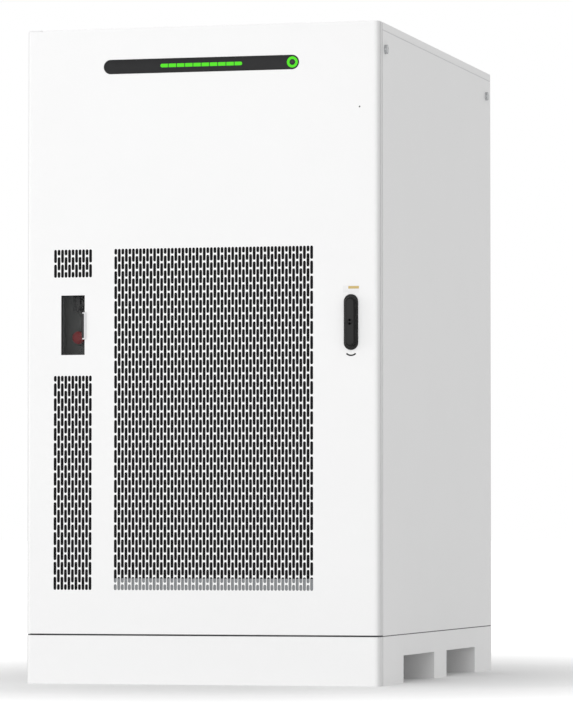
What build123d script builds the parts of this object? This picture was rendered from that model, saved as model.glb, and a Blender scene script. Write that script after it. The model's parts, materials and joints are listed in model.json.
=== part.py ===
"""Floor-standing battery cabinet: sheet-metal housing on a fork-lift plinth, with a full-front vented door.

Millimetres. +Z is up, the front faces -Y, and the origin is on the floor at the middle of the housing.
Depths named d run backwards from the door's outer face. Every piece is written to parts/NAME.step.
"""
import os
from math import cos, pi, radians, sin, sqrt, tan

from build123d import *

# ---------------------------------------------------------------- driving dimensions
width = 1110.0               # housing, across the side panels
depth = 1620.0               # door face to rear panel
height = 2000.0              # floor to roof
plinth_height = 147.0
sheet = 2.0                  # folded sheet steel of door, panels and covers
corner_radius = 16.0         # outside radius of the door's and plinth's upright edges

door_gap = 5.0               # between plinth and door
door_depth = 45.0            # door tray, outer face to the back of its lip
door_top_gap = 4.0           # door top below the roof top, room for the pivot plate
door_lip = 22.0              # lip folded in round the back of the tray
seam = 4.0                   # between the tray's back and the housing
panel_gap = 3.0              # seams round the side panels
roof_edge = 22.0             # folded edge of the roof

hinge_inset = 14.0           # door pivot from the door's left edge
hinge_depth = 16.0           # door pivot behind the door's face
hinge_pin_radius = 4.0
running_gap = 0.06           # radial clearance of pins and shafts
working_gap = 0.4            # between pieces that pass each other

post = 42.0                  # square of the front corner posts
rear_post_depth = 88.0
rail = 40.0                  # height of the frame's rails

pocket_width = 430.0         # fork pocket, along the depth
pocket_height = 84.0
pocket_start = 319.0         # first pocket's near edge, depth from the door face
pocket_web = 178.0           # between the two pockets
tunnel_sheet = 3.0
anchor_radius = 7.0          # floor anchor holes
anchor_flange = 6.0

slot_width = 7.2             # one air slot
slot_length = 40.8
slot_pitch_x = 11.2
slot_pitch_z = 45.4
slots_joined = 8             # slots in line that are cut as one, without the webs between them
vent_top = height - 675.4
vent_rows = 23
main_columns = 56
main_vent_x = 38.1           # middle of the wide vent
side_columns = 11
side_vent_x = 148.7 - width / 2   # middle of the narrow vents, window and controls
side_upper_rows = 2.0
side_lower_rows = 14.5
vent_margin = 9.0            # plain edge round each field of slots

filter_thickness = 14.0
filter_rim = 12.0            # retaining frame round a filter
filter_foot = 36.0           # deep lower bar of the wide vent's retaining frame

bar_length = 616.0           # status bar
bar_height = 44.0
bar_x = -1.0
bar_z = height - 119.0
bar_lens = 5.0
bar_proud = 1.0
segment_count = 10
segment_pitch = 26.0
segment_length = 23.7
segment_height = 11.0
segments_x = 1.3
ring_x = 287.4
ring_outer = 17.0
ring_inner = 9.0
button_radius = 8.0
button_travel = 1.2

window_width = 75.0
window_height = 182.0
window_z = vent_top - 231.6
recess_depth = 92.0          # back of the control recess behind the door's face
flap_thickness = 3.0
flap_pin_radius = 1.5
stop_z = window_z - 36.0     # emergency stop
stop_radius = 20.0
stop_travel = 4.0
selector_z = window_z + 70.0
selector_radius = 15.0
knob_face_depth = 50.0       # front of both controls behind the door's face

handle_x = width / 2 - 86.7
handle_z = window_z - 1.0
plate_width = 44.0           # lock escutcheon
plate_height = 168.0
plate_proud = 5.0
lever_width = 34.0
lever_height = 150.0
lever_thickness = 13.0
pivot_rise = 58.0            # lever's turning axis above the escutcheon's middle
lift_radius = 2.5            # cross pin that the lever lifts on
bit_radius = 9.0             # lock insert in the lever

gear_module = 2.0
pinion_teeth = 12
pressure_angle = 20.0
backlash = 0.35
gear_thickness = 6.0
gear_depth = 15.0            # front face of the pinion behind the door's face
rod_width = 12.0
rod_throw = 19.0
rod_short = 2.0              # rod end stops this short of its keeper

lock_radius = 14.0           # quarter-turn lock on the side panels
lock_proud = 8.0
lock_front_depth = 81.8
lock_rear_depth = depth - 72.0
lock_z = height - 79.5
lock_plug_radius = 9.0
cam_length = 26.0
cam_width = 12.0
cam_thickness = 3.0

module_count = 6
module_pitch = 188.0
module_height = 176.0
module_width = 700.0
module_depth = 1180.0
module_front = 150.0         # module face behind the door's face
module_x = 105.0
stack_z = 330.0              # underside of the lowest module
control_unit_height = 132.0
control_unit_depth = 420.0

fan_count = 3
fan_square = 200.0
fan_thickness = 50.0
fan_pitch = 260.0
fan_z = height - 300.0
fan_blades = 5

# ---------------------------------------------------------------- derived sizes
front = -depth / 2
back = depth / 2
right = width / 2
left = -width / 2
door_bottom = plinth_height + door_gap
door_top = height - door_top_gap
frame_front = door_depth + seam
housing_bottom = plinth_height + panel_gap
hinge_x = left + hinge_inset
pitch_radius = gear_module * pinion_teeth / 2
pivot_z = handle_z + pivot_rise
slot_web = slot_pitch_z - slot_length
second_pocket = pocket_start + pocket_width + pocket_web
inner_right = right - sheet


# ---------------------------------------------------------------- helpers
def block(x, d, z):
    """Box between two widths, two depths behind the door's face and two heights."""
    size = (x[1] - x[0], d[1] - d[0], z[1] - z[0])
    return Pos((x[0] + x[1]) / 2, front + (d[0] + d[1]) / 2, (z[0] + z[1]) / 2) * Box(*size)


def span(middle, size):
    """The two ends of a size about its middle."""
    return (middle - size / 2, middle + size / 2)


def face_plane(d):
    """Plane parallel to the door's face at depth d: local x is X, local y is Z, and its normal points forwards."""
    return Plane(origin=(0, front + d, 0), x_dir=(1, 0, 0), z_dir=(0, -1, 0))


def slab(outline, d):
    """Outline in X and Z, thick from depth d[0] to depth d[1]."""
    return extrude(face_plane(d[1]) * outline, amount=d[1] - d[0])


def rod_y(x, z, radius, d):
    """Round bar along the depth."""
    return slab(Pos(x, z) * Circle(radius), d)


def rod_z(x, d, radius, z):
    """Upright round bar."""
    return Pos(x, front + d, (z[0] + z[1]) / 2) * Cylinder(radius, z[1] - z[0])


def rod_x(x, d, z, radius):
    """Round bar across the width."""
    turned = Rot(0, 90, 0) * Cylinder(radius, x[1] - x[0])
    return Pos((x[0] + x[1]) / 2, front + d, z) * turned


def rounded_tray(inset, d, z):
    """Plan outline of the front covers, drawn in by inset, with its two front edges rounded."""
    outline = Rectangle(width - 2 * inset, d[1] - d[0])
    corners = outline.vertices().sort_by(Axis.Y)[:2]
    outline = fillet(corners, corner_radius - inset)
    placed = Pos(0, front + (d[0] + d[1]) / 2, z[0]) * outline
    return extrude(placed, amount=z[1] - z[0])


def upright_slot(x, z, wide, tall):
    return Pos(x, z) * Rot(0, 0, 90) * SlotOverall(tall, wide)


written = []


def keep(name, *solids):
    """Writes one node. Several solids in it are like pieces of one kind."""
    shape = solids[0] if len(solids) == 1 else Compound(children=list(solids))
    export_step(shape, f"parts/{name}.step")
    written.append(name)


# ---------------------------------------------------------------- plinth
def plinth_front_cover():
    body = rounded_tray(0, (0, door_depth), (0, plinth_height))
    body -= rounded_tray(sheet, (sheet, door_depth), (-1, plinth_height - sheet))
    body -= block((left + door_lip, right - door_lip), (sheet, door_depth + 1), (-1, plinth_height - sheet))
    return body


def plinth_side_cover(x):
    cover = block(x, (frame_front, depth), (0, plinth_height))
    for start in (pocket_start, second_pocket):
        cover -= block((x[0] - 1, x[1] + 1), (start, start + pocket_width), (-1, pocket_height))
    return cover


def plinth_rear_cover():
    return block((left + sheet, right - sheet), (depth - sheet, depth), (0, plinth_height))


def fork_tunnel(start):
    """Inverted channel right across the plinth that guides the forks."""
    outer = block((left + sheet, right - sheet), (start - tunnel_sheet, start + pocket_width + tunnel_sheet),
                  (0, pocket_height + tunnel_sheet))
    return outer - block((left, right), (start, start + pocket_width), (-1, pocket_height))


def plinth_beam(d, anchors):
    """Folded cross beam, open inside, whose foot flange may carry two floor anchor holes."""
    beam = block((left + sheet, right - sheet), d, (0, plinth_height - anchor_flange))
    beam -= block((left, right), (d[0] + tunnel_sheet, d[1] - tunnel_sheet),
                  (anchor_flange, plinth_height - anchor_flange - tunnel_sheet))
    if anchors:
        for side in (-1, 1):
            beam -= rod_z(side * anchor_x, (d[0] + d[1]) / 2, anchor_radius, (-1, anchor_flange + 1))
    return beam


anchor_x = 430.0
front_beam = (door_depth, pocket_start - tunnel_sheet)
middle_beam = (pocket_start + pocket_width + tunnel_sheet, second_pocket - tunnel_sheet)
rear_beam = (second_pocket + pocket_width + tunnel_sheet, depth - sheet)
deck_bottom = plinth_height - anchor_flange

keep("plinth_front_cover", plinth_front_cover())
keep("plinth_side_covers", plinth_side_cover((left, left + sheet)), plinth_side_cover((right - sheet, right)))
keep("plinth_rear_cover", plinth_rear_cover())
keep("fork_tunnels", fork_tunnel(pocket_start), fork_tunnel(second_pocket))
keep("plinth_beams", plinth_beam(front_beam, True), plinth_beam(middle_beam, False), plinth_beam(rear_beam, True))
keep("plinth_deck", block((left + sheet, right - sheet), (frame_front, depth - sheet), (deck_bottom, plinth_height)))


# ---------------------------------------------------------------- frame
def corner_post(side, d):
    """Folded post, open towards the inside of the cabinet."""
    x = span(side * (inner_right - post / 2), post)
    outer = block(x, d, (plinth_height, post_top))
    hollow = block(span(side * (inner_right - post / 2), post - 2 * sheet),
                   (d[0] + sheet, d[1] - sheet), (plinth_height - 1, post_top + 1))
    return outer - hollow - cam_keyhole(side, d)


def cam_keyhole(side, d):
    """Hole in the post's outer wall that the side lock's sleeve and, turned level, its cam pass through."""
    at_front = d == front_post
    lock_d = lock_front_depth if at_front else lock_rear_depth
    towards = -1 if at_front else 1
    x = span(side * inner_right, 3 * sheet)
    reach = sorted((lock_d, lock_d + towards * (cam_length + working_gap)))
    slot = block(x, reach, span(lock_z, cam_width + 2 * working_gap))
    return slot + rod_x(x, lock_d, lock_z, lock_plug_radius + sheet + working_gap)


def frame_ring(z):
    """Four rails between the posts."""
    x = inner_right - post
    rails = [block((-x, x), d, z) for d in (front_post, rear_post)]
    for side in (-1, 1):
        rails.append(block(span(side * (inner_right - post / 2), post), (front_post[1], rear_post[0]), z))
    return rails


post_top = height - sheet - panel_gap
front_post = (frame_front + sheet, frame_front + sheet + post)
rear_post = (depth - sheet - rear_post_depth, depth - sheet)
base_rail = (plinth_height, plinth_height + rail)
top_rail = (post_top - rail, post_top)

keep("corner_posts", *[corner_post(s, d) for s in (-1, 1) for d in (front_post, rear_post)])
keep("base_rails", *frame_ring(base_rail))
keep("top_rails", *frame_ring(top_rail))


# ---------------------------------------------------------------- roof, side and rear panels
def pivot_plate_footprint(gap):
    """Room in plan that the top pivot plate takes out of the roof's front corner."""
    return (left - 1, left + sheet + post + gap)


def roof_panel():
    roof = block((left, right), (frame_front, depth), (height - roof_edge, height))
    roof -= block((left + sheet, right - sheet), (frame_front + sheet, depth - sheet),
                  (height - roof_edge - 1, height - sheet))
    return roof - block(pivot_plate_footprint(working_gap), (frame_front - 1, frame_front + sheet),
                        (height - roof_edge - 1, height + 1))


def side_panel(side):
    """Lift-off panel with two lock holes."""
    x = span(side * (right - sheet / 2), sheet)
    panel = block(x, (frame_front, depth), (housing_bottom, height - roof_edge - panel_gap))
    for d in (lock_front_depth, lock_rear_depth):
        panel -= rod_x(span(side * right, 3 * sheet), d, lock_z, lock_plug_radius + sheet + running_gap)
    return panel


def rear_panel():
    """Screwed panel with air slots over the fans."""
    outline = Pos(0, (rear_z[0] + rear_z[1]) / 2) * Rectangle(width - 2 * sheet, rear_z[1] - rear_z[0])
    for n in range(fan_count):
        for column in range(-7, 8):
            at_x = (n - (fan_count - 1) / 2) * fan_pitch + column * slot_pitch_x
            outline -= Pos(at_x, fan_z) * Rectangle(slot_width, fan_square - 3 * sheet)
    return slab(outline, (depth - sheet, depth))


rear_z = (housing_bottom, height - roof_edge - panel_gap)
keep("roof_panel", roof_panel())
keep("side_panel_left", side_panel(-1))
keep("side_panel_right", side_panel(1))
keep("rear_panel", rear_panel())


# ---------------------------------------------------------------- quarter-turn locks of the side panels
def side_lock_collar(side, d):
    """Round head and sleeve that the plug turns in."""
    head = rod_x(span(side * (right + lock_proud / 2), lock_proud), d, lock_z, lock_radius)
    inner = 2 * sheet
    sleeve = rod_x(span(side * (right - inner / 2), inner), d, lock_z, lock_plug_radius + sheet)
    bore = rod_x(span(side * right, 3 * inner), d, lock_z, lock_plug_radius + running_gap)
    return head + sleeve - bore


def side_lock_plug(side, d):
    """Plug with a key slot outside and the cam inside, behind the post's outer wall."""
    tip = right + lock_proud - sheet
    cam_face = inner_right - sheet - working_gap
    tail = cam_face - cam_thickness
    plug = rod_x(sorted((side * tip, side * tail)), d, lock_z, lock_plug_radius)
    slot = block(span(side * tip, 6.0), span(d, 3.0), span(lock_z, 12.0))
    cam = block(sorted((side * tail, side * cam_face)), span(d, cam_width), (lock_z - cam_length, lock_z))
    return plug - slot + cam


lock_places = [(side, d) for side in (-1, 1) for d in (lock_front_depth, lock_rear_depth)]
lock_names = ["left_front", "left_rear", "right_front", "right_rear"]
keep("side_lock_collars", *[side_lock_collar(s, d) for s, d in lock_places])
for lock_name, (side, d) in zip(lock_names, lock_places):
    keep(f"side_lock_{lock_name}", side_lock_plug(side, d))


# ---------------------------------------------------------------- door pivots
def pivot_plate(z, leg):
    """Plate over or under the door's corner, with a leg that is bolted to the post."""
    plate = block((left + 5, left + sheet + post), (6, frame_front - working_gap), z)
    plate += block((left + leg_inset, left + sheet + post), (frame_front - 1, frame_front + sheet), z)
    return plate + block((left + leg_inset, left + sheet + post), (frame_front, frame_front + sheet), leg)


leg_inset = 12.0 + working_gap
bushing_radius = 9.0
bushing_height = 12.0
pivot_sheet = 3.0
bottom_plate = (plinth_height + 1, plinth_height + 1 + pivot_sheet)
top_plate = (height - pivot_sheet, height)
bottom_pin = (bottom_plate[1], door_bottom + sheet + bushing_height)
top_pin = (door_top - sheet - bushing_height, top_plate[0])

bottom_pivot = pivot_plate(bottom_plate, (bottom_plate[0], plinth_height + rail))
bottom_pivot += rod_z(hinge_x, hinge_depth, hinge_pin_radius, bottom_pin)
top_pivot = pivot_plate(top_plate, (post_top - rail, height))
top_pivot += rod_z(hinge_x, hinge_depth, hinge_pin_radius, top_pin)
keep("door_pivots", bottom_pivot, top_pivot)


def bushing(z):
    outer = rod_z(hinge_x, hinge_depth, bushing_radius, z)
    return outer - rod_z(hinge_x, hinge_depth, hinge_pin_radius + running_gap, (z[0] - 1, z[1] + 1))


keep("door_bushings", bushing((door_bottom + sheet, door_bottom + sheet + bushing_height)),
     bushing((door_top - sheet - bushing_height, door_top - sheet)))


# ---------------------------------------------------------------- door skin
def joined_slots(middle_x, columns, rows, top, first_is_short):
    """Rectangles for a field of air slots: each stands for several slots in line."""
    found = []
    tall = rows * slot_pitch_z - slot_web
    runs = max(1, round(rows / slots_joined))
    run = (tall + slot_web) / runs
    for column in range(columns):
        x = middle_x + (column - (columns - 1) / 2) * slot_pitch_x
        for n in range(runs):
            z = (top - n * run - run + slot_web, top - n * run)
            found.append(block(span(x, slot_width), (-1, sheet + 1), z))
    return found


def door_skin():
    z = (door_bottom, door_top)
    inside = (door_bottom + sheet, door_top - sheet)
    body = rounded_tray(0, (0, door_depth), z)
    body -= rounded_tray(sheet, (sheet, door_depth - sheet), inside)
    body -= block((left + door_lip, right - door_lip), (sheet, door_depth + 1),
                  (door_bottom + door_lip, door_top - door_lip))
    slots = joined_slots(main_vent_x, main_columns, vent_rows, vent_top, True)
    slots += joined_slots(side_vent_x, side_columns, side_upper_rows, vent_top, False)
    slots += joined_slots(side_vent_x, side_columns, side_lower_rows, side_lower_top, True)
    body -= slots
    window = Pos(side_vent_x, window_z) * RectangleRounded(window_width, window_height, 2.0)
    bar = Pos(bar_x, bar_z) * SlotOverall(bar_length - 2, bar_height - 2)
    body -= slab(window, (-1, sheet + 1))
    body -= slab(bar, (-1, sheet + 1))
    body -= rod_y(handle_x, pivot_z, shaft_radius + running_gap, (-1, sheet + 1))
    for z in ((door_bottom - 1, door_bottom + sheet + 1), (door_top - sheet - 1, door_top + 1)):
        body -= rod_z(hinge_x, hinge_depth, hinge_pin_radius + running_gap, z)
    return body


shaft_radius = 7.0
main_tall = vent_rows * slot_pitch_z - slot_web
upper_tall = side_upper_rows * slot_pitch_z - slot_web
lower_tall = side_lower_rows * slot_pitch_z - slot_web
vent_bottom = vent_top - main_tall
side_lower_top = vent_bottom + lower_tall
keep("door_skin", door_skin())


# ---------------------------------------------------------------- filters and stiffeners in the door
def vent_size(columns, tall):
    return (columns - 1) * slot_pitch_x + slot_width + 2 * vent_margin, tall + 2 * vent_margin


def filter_frame(x, z, size, foot):
    """Folded frame that holds a filter mat against the skin."""
    d = (sheet, sheet + filter_thickness + sheet)
    outer = block(span(x, size[0] + 2 * filter_rim), d, span(z, size[1] + 2 * filter_rim))
    inner_z = (z - size[1] / 2 + foot, z + size[1] / 2)
    return outer - block(span(x, size[0]), (0, 2 * d[1]), inner_z)


vents = [
    (main_vent_x, vent_top - main_tall / 2, vent_size(main_columns, main_tall), filter_foot + vent_margin),
    (side_vent_x, vent_top - upper_tall / 2, vent_size(side_columns, upper_tall), 0.0),
    (side_vent_x, vent_bottom + lower_tall / 2, vent_size(side_columns, lower_tall), 0.0),
]
mats = []
for x, z, size, foot in vents:
    mat_z = (z - size[1] / 2 + foot, z + size[1] / 2)
    mats.append(block(span(x, size[0]), (sheet, sheet + filter_thickness), mat_z))
keep("filter_frames", *[filter_frame(*vent) for vent in vents])
keep("filter_mats", *mats)


def stiffener(x, top):
    """Hat channel up the inside of the skin."""
    z = (door_bottom + sheet + 12, top)
    hat = block(span(x, stiffener_width), (sheet, sheet + stiffener_depth), z)
    return hat - block(span(x, stiffener_width - 2 * sheet), (0, stiffener_depth), (z[0] - 1, z[1] + 1))


stiffener_width = 26.0
stiffener_depth = 24.0
keep("door_stiffeners", stiffener(side_vent_x + 96.1, bar_z - bar_height), stiffener(handle_x - 64.3, door_top - sheet - 12))


# ---------------------------------------------------------------- window and its clear flap
window_left = side_vent_x - window_width / 2
window_right = side_vent_x + window_width / 2
flap_x = window_left + 5.0
flap_d = 4.8
flap_pin_length = 3.0
frame_rim = 8.0
tab_height = 83.0


def window_frame():
    """Plastic bezel behind the skin, with the two holes of the flap's pins."""
    outer = Pos(side_vent_x, window_z) * Rectangle(window_width + 2 * frame_rim, window_height + 2 * frame_rim)
    outer -= Pos(side_vent_x, window_z) * Rectangle(window_width, window_height)
    bezel = slab(outer, (sheet, sheet + frame_rim))
    half = window_height / 2
    return bezel - rod_z(flap_x, flap_d, flap_pin_radius + running_gap, (window_z - half - 5, window_z + half + 5))


def window_flap():
    z = span(window_z, window_height - 4.6)
    plate = block((flap_x, window_right - 2 * working_gap), (0, flap_thickness), z)
    barrel = rod_z(flap_x, flap_d, 2.6, z)
    pin = rod_z(flap_x, flap_d, flap_pin_radius, span(window_z, window_height + 2 * flap_pin_length))
    tab = block((window_right - 7, window_right + 5), (-2.6, -working_gap), span(window_z, tab_height))
    tab += block((window_right - 7, window_right - 2 * working_gap), (-1, 0.5), span(window_z, tab_height))
    return plate + barrel + pin + tab


keep("window_frame", window_frame())
keep("window_flap", window_flap())


# ---------------------------------------------------------------- status bar
bar_back = bar_lens - bar_proud


def light_bar():
    """Dark lens set in the door, with a step behind the skin and a hole for the power button."""
    body = slab(Pos(bar_x, bar_z) * SlotOverall(bar_length, bar_height), (-bar_proud, 0))
    body += slab(Pos(bar_x, bar_z) * SlotOverall(bar_length - 2.6, bar_height - 2.6), (-bar_proud, bar_back))
    return body - rod_y(bar_x + ring_x, bar_z, button_radius + running_gap, (-9, 9))


def light_segment(n):
    x = bar_x + segments_x + (n - (segment_count - 1) / 2) * segment_pitch
    outline = Pos(x, bar_z) * Rectangle(segment_length, segment_height)
    if n in (0, segment_count - 1):
        ends = outline.vertices().group_by(Axis.X)[0 if n == 0 else -1]
        outline = fillet(ends, segment_height / 2 - 0.2)
    return slab(outline, (-bar_proud - glow, -bar_proud))


glow = 0.6
ring = Pos(bar_x + ring_x, bar_z) * (Circle(ring_outer) - Circle(ring_inner))
board_d = (bar_back, bar_back + sheet)
keep("light_bar", light_bar())
keep("light_segments", *[light_segment(n) for n in range(segment_count)])
keep("ring_light", slab(ring, (-bar_proud - glow, -bar_proud)))
keep("indicator_board", block(span(bar_x, bar_length), board_d, span(bar_z, bar_height + 20)))
keep("power_button", rod_y(bar_x + ring_x, bar_z, button_radius, (-2.4, bar_back - button_travel - 0.3)))


# ---------------------------------------------------------------- swing handle
plate_d = (-plate_proud, 0)
lever_d = (-plate_proud - working_gap - lever_thickness, -plate_proud - working_gap)
lift_d = -plate_proud - 6.4
knuckle = 5.2
tongue = 12.0
lift_range = 20.0


def handle_plate():
    plate = slab(Pos(handle_x, handle_z) * SlotOverall(plate_height, plate_width, rotation=90), plate_d)
    return plate - rod_y(handle_x, pivot_z, shaft_radius + running_gap, (-9, 9))


def pinion_outline():
    """Involute pinion with short teeth."""
    base = pitch_radius * cos(radians(pressure_angle))
    outer = pitch_radius + tooth_rise
    root = pitch_radius - tooth_rise - 0.7
    points = []
    for tooth in range(pinion_teeth):
        middle = 2 * pi * tooth / pinion_teeth
        flank = [(root, tooth_angle(base, base))]
        for step in range(4):
            r = base + (outer - base) * step / 3
            flank.append((r, tooth_angle(r, base)))
        points += [(r * cos(middle - a), r * sin(middle - a)) for r, a in flank]
        points += [(r * cos(middle + a), r * sin(middle + a)) for r, a in reversed(flank)]
    return make_face(Polyline(*points, close=True))


def tooth_angle(r, base):
    """Half the angle that a tooth takes up at radius r."""
    at_pitch = tan(radians(pressure_angle)) - radians(pressure_angle)
    slope = sqrt(max(0.0, (r / base) ** 2 - 1))
    involute = slope - (pi / 2 - radians(90) + atan_of(slope))
    return pi / (2 * pinion_teeth) - backlash / (2 * pitch_radius) + at_pitch - involute


def atan_of(slope):
    """Arc tangent by halving, good for small slopes."""
    angle = slope
    for _ in range(20):
        angle -= (tan(angle) - slope) / (1 + tan(angle) ** 2)
    return angle


tooth_rise = 1.4
gear_d = (gear_depth, gear_depth + gear_thickness)


def handle_rotor():
    """Shaft with the pinion inside the door and the knuckle that carries the lever outside."""
    shaft = rod_y(handle_x, pivot_z, shaft_radius, (-plate_proud, gear_d[1]))
    shaft += slab(Pos(handle_x, pivot_z) * pinion_outline(), gear_d)
    neck = block(span(handle_x, tongue - 1), (lift_d, -plate_proud + 1), span(pivot_z, 2 * (knuckle - 1.0)))
    eye = rod_x(span(handle_x, tongue), lift_d, pivot_z, knuckle)
    pin = rod_x(span(handle_x, lever_width - 8), lift_d, pivot_z, lift_radius)
    return shaft + neck + eye + pin


def handle_lever():
    lever = slab(Pos(handle_x, handle_z) * SlotOverall(lever_height, lever_width, rotation=90), lever_d)
    lever = chamfer(lever.faces().sort_by(Axis.Y)[0].edges(), 1.6)
    hollow = (knuckle + working_gap)
    lever -= block(span(handle_x, tongue + 2 * working_gap), (lift_d, 0), span(pivot_z, 2 * (knuckle + 2.6)))
    lever -= rod_x(span(handle_x, tongue + 2 * working_gap), lift_d, pivot_z, hollow)
    lever -= rod_x(span(handle_x, lever_width - 7), lift_d, pivot_z, lift_radius + running_gap)
    heel = -plate_proud - lift_d - 0.5
    behind = Pos(handle_x, front + lift_d, pivot_z) * Rot(lift_range, 0, 0) * Pos(0, heel + 20, 0) * Box(60, 40, 90)
    lever -= behind
    return lever - rod_y(handle_x, handle_z, bit_radius + running_gap, (-40, lever_d[1] - 3))


def lock_bit():
    """Lock insert with a two-winged key drive."""
    bit = rod_y(handle_x, handle_z, bit_radius, (lever_d[0] - 0.6, lever_d[1] - 3.4))
    drive = Circle(3.2) + Rectangle(12.0, 2.6)
    return bit - slab(Pos(handle_x, handle_z) * drive, (lever_d[0] - 2, lever_d[1] - 6))


keep("handle_plate", handle_plate())
keep("handle_rotor", handle_rotor())
keep("handle_lever", handle_lever())
keep("lock_bit", lock_bit())


# ---------------------------------------------------------------- latch rods, their guides and keepers
rack_inner = pitch_radius + tooth_rise + 0.7
rod_middle = rack_inner + rod_width / 2
upper_keeper = (post_top - rail, door_top - door_lip - sheet)
lower_keeper = (door_bottom + door_lip + sheet, plinth_height + rail)
pitch = pi * gear_module


def rack_teeth(side, count_down, count_up):
    """Straight teeth towards the pinion, with a gap level with its middle."""
    teeth = []
    tip = tooth_rise * tan(radians(pressure_angle))
    half = pitch / 4 - backlash / 2
    for n in range(-count_down, count_up):
        z = (n + 0.5) * pitch
        root_half = half + tip + 0.2
        points = [(rack_inner + 0.5, z - root_half), (pitch_radius - tooth_rise, z - half + tip),
                  (pitch_radius - tooth_rise, z + half - tip), (rack_inner + 0.5, z + root_half)]
        placed = [(handle_x + side * x, pivot_z + z) for x, z in points]
        teeth.append(slab(make_face(Polyline(*placed, close=True)), gear_d))
    return teeth


def latch_rod(side, z, count_down, count_up):
    bar = block(span(handle_x + side * rod_middle, rod_width), gear_d, z)
    return bar + rack_teeth(side, count_down, count_up)


def rod_guide(side, z):
    """Block on the skin with a slot that the rod slides in."""
    x = handle_x + side * rod_middle
    body = block(span(x, rod_width + 10), (sheet, gear_d[1] + 4), span(z, 16.0))
    return body - block(span(x, rod_width + 2 * working_gap),
                        (gear_d[0] - working_gap, gear_d[1] + working_gap), span(z, 20.0))


def lock_gearbox():
    """Cover behind the skin that keeps both racks against the pinion."""
    half = rack_inner + rod_width + working_gap
    z = span(pivot_z, 84.0)
    outer = block(span(handle_x, 2 * (half + 3)), (sheet, gear_d[1] + working_gap + 3), z)
    inner = block(span(handle_x, 2 * half), (0, gear_d[1] + working_gap), (z[0] - 1, z[1] + 1))
    return outer - inner


def keeper(x, z, rail_z):
    """Two cheeks that the rod's end stands between, welded to a plate on the frame's rail."""
    gap = rod_width / 2 + 2.2
    root = front_post[0] - 3
    cheeks = [block(sorted((x + side * gap, x + side * (gap + 4))), (12.0, root), z) for side in (-1, 1)]
    return [block(span(x, 2 * gap + 8), (root, front_post[0]), rail_z), *cheeks]


rod_upper_z = (pivot_z - 2.5 * pitch, upper_keeper[1] - rod_short)
rod_lower_z = (lower_keeper[0] + rod_short, pivot_z + 2.5 * pitch)
keep("latch_rod_upper", latch_rod(1, rod_upper_z, 2, 5))
keep("latch_rod_lower", latch_rod(-1, rod_lower_z, 5, 2))
guide_rise = 700.0
keep("rod_guides", rod_guide(1, pivot_z + guide_rise), rod_guide(-1, pivot_z - guide_rise))
keep("lock_gearbox", lock_gearbox())
keep("latch_keepers", *keeper(handle_x + rod_middle, upper_keeper, upper_keeper),
     *keeper(handle_x - rod_middle, lower_keeper, lower_keeper))


# ---------------------------------------------------------------- control bay
bay_inner = -312.0
partition = (bay_inner - sheet, bay_inner)
panel_d = (recess_depth, recess_depth + sheet)
bay_x = (-inner_right + post, partition[0])

keep("bay_partition", block(partition, (frame_front + 11, rear_post[0]), (base_rail[1], top_rail[0])))


def control_panel():
    plate = block(bay_x, panel_d, (window_z - 153.0, window_z + 327.0))
    plate -= rod_y(side_vent_x, stop_z, stop_stem + running_gap, (0, 2 * recess_depth))
    return plate - rod_y(side_vent_x, selector_z, selector_stem + running_gap, (0, 2 * recess_depth))


stop_stem = 6.0
selector_stem = 4.0
collar_d = (recess_depth - 16, recess_depth)
stop_cap = (knob_face_depth, knob_face_depth + 12.0)
selector_base = (recess_depth - 14, recess_depth)
knob_d = (knob_face_depth, selector_base[0] - working_gap)


def stop_collar():
    collar = rod_y(side_vent_x, stop_z, 15.0, collar_d)
    collar += rod_y(side_vent_x, stop_z, 24.0, (recess_depth - 3, recess_depth))
    return collar - rod_y(side_vent_x, stop_z, stop_stem + running_gap, (0, 2 * recess_depth))


def stop_button():
    """Mushroom cap on its stem, with a stop ring behind the panel."""
    cap = rod_y(side_vent_x, stop_z, stop_radius, stop_cap)
    cap = fillet(cap.faces().sort_by(Axis.Y)[0].edges(), 5.0)
    stem = rod_y(side_vent_x, stop_z, stop_stem, (stop_cap[0] + 8, panel_d[1] + 8))
    ring = rod_y(side_vent_x, stop_z, stop_stem + 3, (panel_d[1] + working_gap, panel_d[1] + 3))
    return cap + stem + ring


def selector_knob():
    """Round skirt with a grip bar across it."""
    knob = rod_y(side_vent_x, selector_z, selector_radius, (knob_d[1] - 8, knob_d[1]))
    grip = Pos(side_vent_x, selector_z) * RectangleRounded(13.0, 50.0, 5.0)
    knob += slab(grip, (knob_d[0], knob_d[1] - 8))
    knob += rod_y(side_vent_x, selector_z, selector_stem, (knob_d[1] - 2, panel_d[1] + 6))
    return knob + rod_y(side_vent_x, selector_z, selector_stem + 3, (panel_d[1] + working_gap, panel_d[1] + 3))


def selector_base_plate():
    base = slab(Pos(side_vent_x, selector_z) * RectangleRounded(48.0, 48.0, 4.0), selector_base)
    return base - rod_y(side_vent_x, selector_z, selector_stem + running_gap, (0, 2 * recess_depth))


breaker_z = window_z + 237.0
breaker_d = (recess_depth - 30, recess_depth)
toggle_axis_d = breaker_d[0] + 6


def main_breaker():
    body = block(span(side_vent_x, 90.0), breaker_d, span(breaker_z, 130.0))
    return body - block(span(side_vent_x, 20.0), (breaker_d[0] - 1, breaker_d[0] + 16), span(breaker_z, 44.0))


def breaker_toggle():
    """Toggle on a cross pin that ends in the breaker's cheeks."""
    pin = rod_x(span(side_vent_x, 20.0 - 2 * working_gap), toggle_axis_d, breaker_z, 5.0)
    arm = block(span(side_vent_x, 14.0), (breaker_d[0] - 12, toggle_axis_d), (breaker_z - 4, breaker_z + 4))
    arm = Pos(0, front + toggle_axis_d, breaker_z) * Rot(-toggle_turn, 0, 0) * Pos(0, -front - toggle_axis_d,
                                                                                 -breaker_z) * arm
    return pin + arm


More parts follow.
